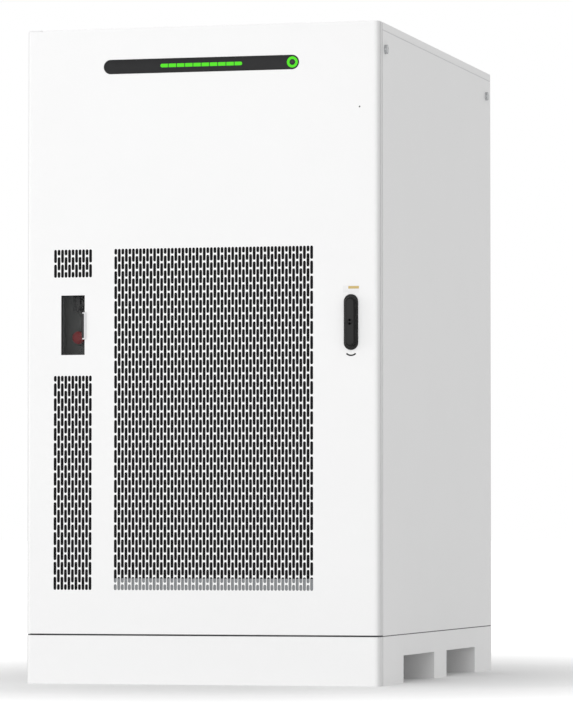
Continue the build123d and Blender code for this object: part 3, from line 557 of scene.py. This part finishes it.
def slot_tree(full_tile, half_tile, material):
    """Group that lays the tiles column by column, alternate columns half a pitch lower."""
    tree = bpy.data.node_groups.new("air_slots", "GeometryNodeTree")
    for name, kind, value in (("Columns", "NodeSocketInt", 11), ("Half Rows", "NodeSocketInt", 4),
                              ("First Is Short", "NodeSocketInt", 0),
                              ("Pitch X", "NodeSocketFloat", SLOT_PITCH_X / 1000),
                              ("Pitch Z", "NodeSocketFloat", SLOT_PITCH_Z / 1000)):
        socket = tree.interface.new_socket(name, in_out="INPUT", socket_type=kind)
        socket.default_value = value
    tree.interface.new_socket("Geometry", in_out="OUTPUT", socket_type="NodeSocketGeometry")
    new = tree.nodes.new
    link = tree.links.new
    given = new("NodeGroupInput").outputs

    def op(kind, a, b=0.0):
        node = new("ShaderNodeMath")
        node.operation = kind
        for slot, value in zip(node.inputs, (a, b)):
            if isinstance(value, (int, float)):
                slot.default_value = value
            else:
                link(value, slot)
        return node.outputs[0]

    index = new("GeometryNodeInputIndex").outputs[0]
    cells = given["Half Rows"]
    column = op("FLOOR", op("DIVIDE", op("ADD", index, 0.01), cells))
    cell = op("SUBTRACT", index, op("MULTIPLY", column, cells))
    lowered = op("MODULO", op("ADD", column, given["First Is Short"]), 2.0)
    starts = op("LESS_THAN", op("MODULO", op("ADD", cell, lowered), 2.0), 0.5)
    is_last = op("GREATER_THAN", cell, op("SUBTRACT", cells, 1.5))
    is_first = op("LESS_THAN", cell, 0.5)
    full = op("MULTIPLY", starts, op("SUBTRACT", 1.0, is_last))
    half = op("MAXIMUM", op("MULTIPLY", is_first, lowered), op("MULTIPLY", is_last, starts))

    cloud = new("GeometryNodePoints")
    link(op("MULTIPLY", given["Columns"], cells), cloud.inputs["Count"])
    joined = new("GeometryNodeJoinGeometry")
    for chosen, tile, drop in ((full, full_tile, 1.0), (half, half_tile, 0.5)):
        place = new("ShaderNodeCombineXYZ")
        link(op("MULTIPLY", op("ADD", column, 0.5), given["Pitch X"]), place.inputs["X"])
        step_down = op("MULTIPLY", given["Pitch Z"], -0.5)
        link(op("MULTIPLY", op("ADD", cell, drop), step_down), place.inputs["Z"])
        move = new("GeometryNodeSetPosition")
        link(cloud.outputs[0], move.inputs["Geometry"])
        link(place.outputs[0], move.inputs["Position"])
        info = new("GeometryNodeObjectInfo")
        info.inputs["Object"].default_value = tile
        instance = new("GeometryNodeInstanceOnPoints")
        link(move.outputs[0], instance.inputs["Points"])
        link(chosen, instance.inputs["Selection"])
        link(info.outputs["Geometry"], instance.inputs["Instance"])
        link(instance.outputs[0], joined.inputs[0])
    realise = new("GeometryNodeRealizeInstances")
    link(joined.outputs[0], realise.inputs[0])
    weld = new("GeometryNodeMergeByDistance")
    weld.inputs["Distance"].default_value = 0.00002
    link(realise.outputs[0], weld.inputs["Geometry"])
    paint = new("GeometryNodeSetMaterial")
    paint.inputs["Material"].default_value = material
    link(weld.outputs[0], paint.inputs["Geometry"])
    link(paint.outputs[0], new("NodeGroupOutput").inputs["Geometry"])
    return tree


full_tile = slot_tile("full_slot_tile", SLOT_PITCH_Z, WHITE_SHADED_FLANKS)
half_tile = slot_tile("half_slot_tile", SLOT_PITCH_Z / 2, WHITE_SHADED_FLANKS)
AIR_SLOTS = slot_tree(full_tile, half_tile, WHITE_SHADED_FLANKS)


def vent_bounds(vent, top):
    """Left, right, bottom and top of a field of tiles."""
    x, columns, rows = vent
    half = columns * SLOT_PITCH_X / 2
    return (x - half, x + half, top + SLOT_WEB / 2 - rows * SLOT_PITCH_Z, top + SLOT_WEB / 2)


def vent_mesh(vent, top, first_is_short):
    """Plain mesh of one field of slots, in place. The slots' walls take the second material, a painted shade.
    """
    x, columns, rows = vent
    mesh = bpy.data.meshes.new("vent")
    carrier = bpy.data.objects.new("vent", mesh)
    bpy.context.scene.collection.objects.link(carrier)
    modifier = carrier.modifiers.new("slots", "NODES")
    modifier.node_group = AIR_SLOTS
    names = {item.name: item.identifier for item in AIR_SLOTS.interface.items_tree if item.in_out == "INPUT"}
    modifier[names["Columns"]] = columns
    modifier[names["Half Rows"]] = round(rows * 2)
    modifier[names["First Is Short"]] = first_is_short
    seen = carrier.evaluated_get(bpy.context.evaluated_depsgraph_get())
    made = bpy.data.meshes.new_from_object(seen)
    carrier.modifiers.remove(modifier)
    bpy.data.objects.remove(carrier)
    low_x, _, _, high_z = vent_bounds(vent, top)
    corner = at(low_x, 0, high_z)
    for v in made.vertices:
        v.co += corner
    for polygon in made.polygons:
        # painted shade: faces that stand across the sheet, the slots' walls, take the near-black second
        # material
        polygon.material_index = int(abs(polygon.normal.y) < 0.5)
    return made


# ---------------------------------------------------------------- door panel
# The whole front is one folded sheet-steel tray, 2 mm thick, with rounded upright edges, a rolled groove in
# each flank and a lip folded in at the back. The air slots are punched straight through it, and the window,
# the status bar and the handle's spindle have cut-outs.
DOOR = reach("door_skin", Z)
DOOR_DEPTH = reach("door_skin", Y)[1] + DEPTH / 2
EDGE_RADIUS = 16.0
LIP = 22.0
NOTCH = -503.0                         # the top edge is lower left of this, under the pivot plate
RAISED_TOP = 1999.5
GROOVE = (17.5, 22.0, 3.0)             # front, back and depth of the rolled groove
END_PLAY = 0.01                        # keeps the ends' back corners off the flanks'
WELD = 0.000015                        # in metres

WINDOW = (CONTROLS_X, centre("window_flap", Z), 75.0, 182.0)
BAR = (centre("light_bar", X), centre("light_bar", Z), 616.0, 44.0)
BAR_HOLE = (16.0, 36.0)                # how much shorter than the bar at each end, and its height
HANDLE = (centre("handle_plate", X), centre("handle_plate", Z))
PIVOT_Z = centre("handle_rotor", Z)
SPINDLE_HOLE = 18.0

VENT_BOTTOM = VENT_TOP - MAIN_VENT[2] * SLOT_PITCH_Z + SLOT_WEB
LOWER_TOP = VENT_BOTTOM + LOWER_VENT[2] * SLOT_PITCH_Z - SLOT_WEB
vents = [(MAIN_VENT, VENT_TOP, 1), (UPPER_VENT, VENT_TOP, 0), (LOWER_VENT, LOWER_TOP, 1)]
openings = [vent_bounds(vent, top) for vent, top, _ in vents]
cutouts = [
    (*around(WINDOW[0], WINDOW[2]), *around(WINDOW[1], WINDOW[3])),
    (*around(BAR[0], BAR[2] - 2 * BAR_HOLE[0]), *around(BAR[1], BAR_HOLE[1])),
    (*around(HANDLE[0], SPINDLE_HOLE), *around(PIVOT_Z, SPINDLE_HOLE)),
]

# The slots' walls are near black: painted shade, standing in for the shade inside the slots.
SLOT_WALL_SHADE = moulded("slot_wall_shade", (0.02, 0.02, 0.02), 0.7, grain=0.0, shine=0.1)


def corner_arc(side, inset, steps=8):
    """Plan points (x, d) round one upright edge, from the flank to the front."""
    r = EDGE_RADIUS - inset
    cx = side * (WIDTH / 2 - EDGE_RADIUS)
    return [(cx + side * r * math.cos(a), EDGE_RADIUS - r * math.sin(a))
            for a in [math.pi / 2 * n / steps for n in range(steps + 1)]]


def add_upright(bm, plan, z, closed=False):
    """Faces that stand on a plan of (x, d) points. Gives the lower and the upper row of vertices."""
    low = [bm.verts.new(at(x, d, z[0])) for x, d in plan]
    high = [bm.verts.new(at(x, d, z[1])) for x, d in plan]
    for n in range(len(plan) if closed else len(plan) - 1):
        m = (n + 1) % len(plan)
        bm.faces.new((low[n], low[m], high[m], high[n]))
    return low, high


def add_wrap(bm, inset, z):
    """Folded strip on each side: rounded edge, flank with a rolled groove, back and lip."""
    flank = WIDTH / 2 - inset
    back = DOOR_DEPTH - inset
    for side in (-1, 1):
        face = side * flank
        groove = side * (flank - GROOVE[2])
        plan = [(side * (WIDTH / 2 - LIP), back), (face, back), (face, GROOVE[1]),
                (groove, GROOVE[1]), (groove, GROOVE[0]), (face, GROOVE[0])]
        add_upright(bm, plan + corner_arc(side, inset), z)


def add_pierced(bm, d, x, z, holes):
    """Flat sheet at depth d with rectangular openings, as a grid of faces."""
    xs = sorted({*x, *[h[0] for h in holes], *[h[1] for h in holes]})
    zs = sorted({*z, *[h[2] for h in holes], *[h[3] for h in holes]})
    xs = [v for v in xs if x[0] <= v <= x[1]]
    verts = {}
    for i, vx in enumerate(xs):
        for k, vz in enumerate(zs):
            verts[i, k] = bm.verts.new(at(vx, d, vz))
    for i in range(len(xs) - 1):
        for k in range(len(zs) - 1):
            mx, mz = (xs[i] + xs[i + 1]) / 2, (zs[k] + zs[k + 1]) / 2
            if not any(h[0] < mx < h[1] and h[2] < mz < h[3] for h in holes):
                bm.faces.new((verts[i, k], verts[i + 1, k], verts[i + 1, k + 1], verts[i, k + 1]))


def add_end(bm, z, way):
    """Top or bottom of the tray and its lip. The way is 1 from the bottom upwards, -1 from the top down."""
    span = WIDTH / 2 - END_PLAY
    plan = [(-span, DOOR_DEPTH)] + corner_arc(-1, 0.0) + corner_arc(1, 0.0)[::-1] + [(span, DOOR_DEPTH)]
    outer = [bm.verts.new(at(x, d, z)) for x, d in plan]
    inner = [bm.verts.new(at(x, d, z + way * SHEET)) for x, d in plan]
    bm.faces.new(outer if way > 0 else list(reversed(outer)))
    bm.faces.new(list(reversed(inner)) if way > 0 else inner)
    lip = WIDTH / 2 - LIP
    add_block(bm, (-lip, lip), (DOOR_DEPTH - SHEET, DOOR_DEPTH), sorted((z, z + way * LIP)))


def door_panel():
    bm = bmesh.new()
    flat = WIDTH / 2 - EDGE_RADIUS
    heights = {0.0: DOOR, SHEET: (DOOR[0] + SHEET, DOOR[1] - SHEET)}
    for inset, z in heights.items():
        add_wrap(bm, inset, z)
    for inset, z in heights.items():
        add_pierced(bm, inset, (-flat, flat), z, openings + cutouts)
    for low_x, high_x, low_z, high_z in cutouts:
        ring = [(low_x, low_z), (high_x, low_z), (high_x, high_z), (low_x, high_z)]
        add_loops(bm, [(ring, 0.0), (ring, SHEET)], cap_front=False, cap_back=False)
    add_end(bm, DOOR[0], 1)
    add_end(bm, DOOR[1], -1)
    bmesh.ops.remove_doubles(bm, verts=bm.verts, dist=WELD)
    raised = [(NOTCH, DOOR_DEPTH), (NOTCH, 0.0)] + corner_arc(1, 0.0)[::-1] + [(WIDTH / 2, DOOR_DEPTH)]
    _, high = add_upright(bm, raised, (DOOR[1], RAISED_TOP), closed=True)
    bm.faces.new(high)
    panel = shape("door_panel", bm, WHITE_SHADED_FLANKS, 30)
    panel.data.materials.append(SLOT_WALL_SHADE)
    bm = bmesh.new()
    bm.from_mesh(panel.data)
    for vent, top, first_is_short in vents:
        field = vent_mesh(vent, top, first_is_short)
        bm.from_mesh(field)
        bpy.data.meshes.remove(field)
    bm.to_mesh(panel.data)
    bm.free()
    for polygon in panel.data.polygons:
        polygon.use_smooth = True
    panel.data.set_sharp_from_angle(angle=math.radians(30))
    return panel


door_panel_obj = door_panel()
bpy.data.objects.remove(full_tile)
bpy.data.objects.remove(half_tile)
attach(door_panel_obj, "door")
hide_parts("door_skin")


# ---------------------------------------------------------------- status bar
# A dark tinted acrylic bar set in the door, moulded in one piece and clipped from behind. Ten green segments
# show the charge, and a lit ring goes round the power button, which slides in a bore at the bar's right end.
BAR_FACE = -1.0
BAR_BACK = 4.0
GLOW_FACE = BAR_FACE - 0.6
SEGMENTS = 10
SEGMENT = (BAR[0] + 1.3, 26.0, 23.7, 11.0)     # middle of the row, pitch, length, height
SEGMENT_CORNERS = (0.8, 5.2)           # inside the row, and on the outer side of its ends
RING = (286.4, 17.0, 9.0)              # middle, outer and inner radius
RING_PROFILE = [(RING[2], BAR_FACE), (RING[2], GLOW_FACE + 0.1), (RING[2] + 0.6, GLOW_FACE),
                (RING[1] - 0.6, GLOW_FACE), (RING[1], GLOW_FACE + 0.2), (RING[1], BAR_FACE)]
BUTTON_RADIUS = 8.0
BUTTON = [(5.5, -1.9), (6.4, -2.3), (7.4, -2.4), (BUTTON_RADIUS, -2.0), (BUTTON_RADIUS, 2.5)]
BORE = BUTTON_RADIUS + 0.5


def lit(name, colour, strength):
    """Light behind a tinted window, slightly uneven."""
    paint = Paint(name, [c * 0.2 for c in colour], 0.4, shine=0.2)
    paint.shader.inputs["Emission Strength"].default_value = strength
    glow = paint.noise(40.0) * 0.1
    paint.set("Emission Color", paint.mix(glow, colour, [c * 0.8 for c in colour]))
    return paint.material


LENS = moulded("lens", (0.016, 0.016, 0.017), 0.4, grain=0.0, shine=0.12)
GREEN_LIGHT = lit("green_light", (0.10, 0.95, 0.003), 0.60)
finish_nodes("lens", LENS)
finish_nodes("green_light", GREEN_LIGHT)


def fill_between(bm, outer, inner):
    """Flat face between two rings of vertices at one depth."""
    edges = [bm.edges.get((ring[n - 1], ring[n])) for ring in (outer, inner) for n in range(len(ring))]
    bmesh.ops.triangle_fill(bm, use_beauty=True, edges=edges)


bm = bmesh.new()
hull = add_slab(bm, outline_stadium(*BAR, 16), (BAR_FACE, BAR_BACK), bevel=0.8, caps=False)
bore = add_turned(bm, RING[0], BAR[1], [(BORE, BAR_FACE), (BORE, BAR_BACK)], cap_front=False, cap_back=False)
for end in (0, -1):
    fill_between(bm, hull[end], bore[end])
light_bar = shape("status_bar", bm, LENS)
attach(light_bar, "door")
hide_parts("light_bar")


def segment_outline(n):
    """One segment. The first and the last have round corners on their outer side."""
    x = SEGMENT[0] + (n - (SEGMENTS - 1) / 2) * SEGMENT[1]
    points = outline_round(x, BAR[1], SEGMENT[2], SEGMENT[3], SEGMENT_CORNERS[0])
    outward = {0: -1, SEGMENTS - 1: 1}.get(n)
    if outward:
        rounded = outline_round(x, BAR[1], SEGMENT[2], SEGMENT[3], SEGMENT_CORNERS[1])
        points = [r if (r[0] - x) * outward > 0 else q for q, r in zip(points, rounded)]
    return points


bm = bmesh.new()
for n in range(SEGMENTS):
    add_slab(bm, segment_outline(n), (GLOW_FACE, BAR_FACE), bevel=0.2, steps=1)
segments = shape("charge_segments", bm, GREEN_LIGHT)
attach(segments, "door")
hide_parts("light_segments")

bm = bmesh.new()
add_turned(bm, RING[0], BAR[1], RING_PROFILE, steps=40, cap_front=False, cap_back=False)
ring = shape("button_ring", bm, GREEN_LIGHT)
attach(ring, "door")
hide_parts("ring_light")

bm = bmesh.new()
add_turned(bm, RING[0], BAR[1], BUTTON)
button = shape("power_button_cap", bm, BLACK_PLASTIC)
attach(button, "button")
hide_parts("power_button")


# ---------------------------------------------------------------- clear flap over the window
# A clear polycarbonate sheet that swings on two small pins at its left edge, in a black barrel behind it. A
# pale moulded pull tab laps over the skin at its right edge. Beside it, a black block stands for the finger
# recess: painted shade.
FLAP_X = WINDOW[0] - WINDOW[2] / 2 + 5.0
RIGHT = WINDOW[0] + WINDOW[2] / 2
FLAP_PLAY = 4.6                        # height that the flap leaves free in the cut-out
FLAP_D = (0.0, 3.0)
BARREL = (2.6, 4.8, 16)                # radius, depth of its axis, points round it
TAB = (1090.5, 83.0)                   # middle and height


def clear(name, colour, alpha):
    """Clear plastic sheet with faint handling marks."""
    paint = Paint(name, colour, 0.06, shine=0.1)
    smear = paint.noise(22.0, (1, 1, 0.3), detail=3.0)
    paint.set("Roughness", smear.ramp(0.45, 0.75) * 0.12 + 0.04)
    paint.set("Alpha", smear.ramp(0.4, 0.9) * 0.03 + alpha)
    return paint.material


CLEAR = clear("clear", (0.30, 0.31, 0.31), 0.03)
finish_nodes("clear", CLEAR)

bm = bmesh.new()
flap_z = around(WINDOW[1], WINDOW[3] - FLAP_PLAY)
add_block(bm, (FLAP_X, RIGHT - 0.8), FLAP_D, flap_z, bevel=0.4)
flap = shape("clear_flap", bm, CLEAR)
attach(flap, "flap")
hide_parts("window_flap")

bm = bmesh.new()
turns = [2 * math.pi * n / BARREL[2] for n in range(BARREL[2])]
barrel = [(FLAP_X + BARREL[0] * math.cos(a), BARREL[1] + BARREL[0] * math.sin(a)) for a in turns]
for end in add_upright(bm, barrel, flap_z, closed=True):
    bm.faces.new(end)
flap_barrel = shape("flap_barrel", bm, BLACK_PLASTIC)
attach(flap_barrel, "flap")

bm = bmesh.new()
add_block(bm, (RIGHT - 7.0, RIGHT + 5.0), (-2.6, -0.4), around(*TAB), bevel=1.0, segments=3)
tab = shape("flap_pull_tab", bm, PALE)
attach(tab, "flap")

# painted shade: a black block on the tab's inner part stands in for the shade in its finger recess
bm = bmesh.new()
add_block(bm, (RIGHT - 9.0, RIGHT - 1.2), (-2.9, 0.2), around(TAB[0], TAB[1] - 8), bevel=0.8)
grip = shape("flap_finger_recess", bm, BLACK_PLASTIC)
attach(grip, "flap")


# ---------------------------------------------------------------- swing handle
# A die-cast black swing handle: an oval escutcheon screwed to the door, a lever that lifts and turns in it,
# and a round lock insert with a two-winged drive in the lever's middle.
PLATE = (44.0, 168.0)                  # width, height
PLATE_D = (-5.0, 0.0)
LEVER = (34.0, 150.0)
LEVER_D = (-18.4, -5.4)
LEVER_ROUND = (7.0, 6.0, 6)            # how far its front is rounded, across and in depth, and steps
LEVER_AXIS_D = -11.4
HEEL_ROOM = 5.5                        # from that axis to the heel's cut face
LEVER_LIFT = math.radians(20.0)
INSERT = [(8.0, -19.0), (9.0, -18.6), (9.0, -8.4)]
DRIVE = [(3.7, -19.05), (3.7, -18.0)]
DRIVE_UP = 5.2                         # from the insert's middle to each wing

PIT = moulded("shaded_recess", (0.002, 0.002, 0.002), 0.8, grain=0.0, shine=0.0)

bm = bmesh.new()
add_slab(bm, outline_stadium(*HANDLE, *PLATE, 14), PLATE_D, bevel=2.2, steps=4)
plate = shape("handle_escutcheon", bm, BLACK_METAL, 50)
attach(plate, "door")
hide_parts("handle_plate")


def add_lever(bm):
    """Rounded bar. Above its axis the back is cut away, so that it can lift clear of the escutcheon."""
    outline = outline_stadium(*HANDLE, *LEVER, 14)
    loops = []
    for n in range(LEVER_ROUND[2] + 1):
        a = math.pi / 2 * n / LEVER_ROUND[2]
        inset = LEVER_ROUND[0] * (1 - math.sin(a))
        loops.append((shrink(outline, inset), LEVER_D[0] + LEVER_ROUND[1] * (1 - math.cos(a))))
    loops.append((outline, LEVER_D[1]))
    add_loops(bm, loops)
    for v in bm.verts:
        height = v.co.z * 1000 - PIVOT_Z
        limit = (HEEL_ROOM - height * math.sin(LEVER_LIFT)) / math.cos(LEVER_LIFT) + LEVER_AXIS_D
        depth = v.co.y * 1000 + DEPTH / 2
        if height > 0 and depth > limit:
            v.co.y = (limit - DEPTH / 2) / 1000


bm = bmesh.new()
add_lever(bm)
lever = shape("handle_lever_body", bm, BLACK_METAL, 50)
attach(lever, "lever")
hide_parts("handle_lever")

bm = bmesh.new()
add_turned(bm, *HANDLE, INSERT, steps=36)
insert = shape("lock_insert_body", bm, BLACK_METAL)
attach(insert, "lock_insert")
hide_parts("lock_bit")

bm = bmesh.new()
for up in (-1, 1):
    add_turned(bm, HANDLE[0], HANDLE[1] + up * DRIVE_UP, DRIVE, steps=20)
drive = shape("lock_insert_drive", bm, PIT)
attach(drive, "lock_insert")


# ---------------------------------------------------------------- small marks on the door
# A blank sticker with one amber stripe over the handle, the curved turning mark printed under it, and one
# small rivet higher up, all on the door's face. All text is left off.
STICKER_FILM = 0.18
STICKER_OUTLINE = (HANDLE[0], 1191.5, 50.0, 21.0, 1.5)        # middle, width, height, corner
STRIPE_OUTLINE = (HANDLE[0] + 8.0, 1196.5, 33.0, 8.0, 0.6)
STRIPE_FILM = 0.08
MARK_Z = 1012.0
MARK_RADII = (22.4, 17.8)
MARK_TURN = (225, 90)                  # start and sweep in degrees
RIVET = (495.0, 1741.0)

STICKER = moulded("sticker_white", (0.76, 0.76, 0.76), 0.5, grain=0.0, shine=0.3)
AMBER = moulded("printed_amber", (0.56, 0.42, 0.17), 0.6, grain=0.0, shine=0.2)
INK = moulded("printed_black", (0.020, 0.020, 0.020), 0.6, grain=0.0, shine=0.2)

bm = bmesh.new()
add_slab(bm, outline_round(*STICKER_OUTLINE), (-STICKER_FILM, 0.0), bevel=0.05, steps=1)
sticker = shape("blank_sticker", bm, STICKER)
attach(sticker, "door")

bm = bmesh.new()
stripe_d = (-STICKER_FILM - STRIPE_FILM, -STICKER_FILM)
add_slab(bm, outline_round(*STRIPE_OUTLINE), stripe_d, bevel=0.02, steps=1)
stripe = shape("sticker_stripe", bm, AMBER)
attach(stripe, "door")

bm = bmesh.new()
arc = []
for radius, order in zip(MARK_RADII, (1, -1)):
    angles = [math.radians(MARK_TURN[0] + MARK_TURN[1] * n / 12) for n in range(13)][::order]
    arc += [(HANDLE[0] + radius * math.cos(a), MARK_Z + radius * math.sin(a)) for a in angles]
add_slab(bm, arc, (-0.15, 0.0), bevel=0.02, steps=1)
mark = shape("turning_mark", bm, INK)
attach(mark, "door")

bm = bmesh.new()
add_turned(bm, *RIVET, [(1.6, -0.5), (2.2, -0.3), (2.4, 0.0)], steps=16)
rivet = shape("door_rivet", bm, INK)
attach(rivet, "door")


# ---------------------------------------------------------------- studio
# A large matt floor under a plain white sky, with one big soft lamp in front and a weaker one on the left.
# The camera sees the floor grey near the cabinet, a painted shadow, and white further off. It lights the
# cabinet evenly.
FLOOR_SIZE = 400.0                     # in metres, like all of this section
WORLD = 0.79
FLOOR = 0.92                           # what the floor gives back to the cabinet
FLOOR_SEEN_SHADOW = (0.745, 1.55)             # what the camera sees of it, near and far; the darker near value is a painted shadow
SHADOW_NEAR, SHADOW_FAR = 0.2, 4.2
SHADOW_OVAL = 1.4                       # how much faster the painted shadow fades to the sides
LIGHTS = (
    ("front_softbox", (-1.5, -12.0, 1.3), (0, 0, 1.0), 8.0, 620.0),
    ("left_strip", (-9.0, -3.0, 2.0), (0, -0.8, 1.0), 3.0, 150.0),
)

bm = bmesh.new()
bmesh.ops.create_grid(bm, x_segments=1, y_segments=1, size=FLOOR_SIZE / 2)
floor_paint = Paint("studio_floor", (FLOOR, FLOOR, FLOOR), 0.9, shine=0.0)
# painted shadow: for camera rays the floor's colour is darker near the cabinet and lifts to white further off
x, y = floor_paint.axis(X) * SHADOW_OVAL, floor_paint.axis(Y)
away = ((x * x + y * y) ** 0.5).ramp(SHADOW_NEAR, SHADOW_FAR)
seen = away * (FLOOR_SEEN_SHADOW[1] - FLOOR_SEEN_SHADOW[0]) + (FLOOR_SEEN_SHADOW[0] - FLOOR)
camera_ray = add_node(floor_paint.tree, "ShaderNodeLightPath", {}, "Is Camera Ray")
floor_paint.set("Base Color", seen * camera_ray + FLOOR)
floor = shape("studio_floor", bm, floor_paint.material)

world = bpy.data.worlds.new("studio")
world.use_nodes = True
bpy.context.scene.world = world
sky_tree = world.node_tree
sky_seen = add_node(sky_tree, "ShaderNodeLightPath", {}, "Is Camera Ray")
sky_colours = {"Factor": sky_seen, 6: (WORLD, WORLD, WORLD, 1.0), 7: (1.0, 1.0, 1.0, 1.0)}
sky = add_node(sky_tree, "ShaderNodeMix", sky_colours, 2, data_type="RGBA")
sky_tree.links.new(sky.socket, sky_tree.nodes["Background"].inputs["Color"])

for name, place, aim, size, power in LIGHTS:
    data = bpy.data.lights.new(name, "AREA")
    data.size = size
    data.energy = power
    lamp = bpy.data.objects.new(name, data)
    bpy.context.scene.collection.objects.link(lamp)
    lamp.location = place
    lamp.rotation_euler = (Vector(aim) - Vector(place)).to_track_quat("-Z", "Y").to_euler()


# ---------------------------------------------------------------- camera
# A long lens, low and well to the right of the door's middle, so that door and right side panel both show.
# It looks up a little, and the view transform leaves the colours as they are.
LENS_LENGTH = 217.75
YAW, PITCH = 0.2546, 0.0396            # in radians, to the left and upwards

scene = bpy.context.scene
scene.view_settings.view_transform = "Standard"
camera_data = bpy.data.cameras.new("camera")
camera = bpy.data.objects.new("camera", camera_data)
scene.collection.objects.link(camera)
scene.camera = camera
camera_data.lens = LENS_LENGTH
camera_data.sensor_width = 36.0
camera_data.clip_end = 500.0
camera.location = at(3567.5, -12678.7, 462.3)
look = Vector((-math.sin(YAW) * math.cos(PITCH), math.cos(YAW) * math.cos(PITCH), math.sin(PITCH)))
camera.rotation_euler = look.to_track_quat("-Z", "Y").to_euler()
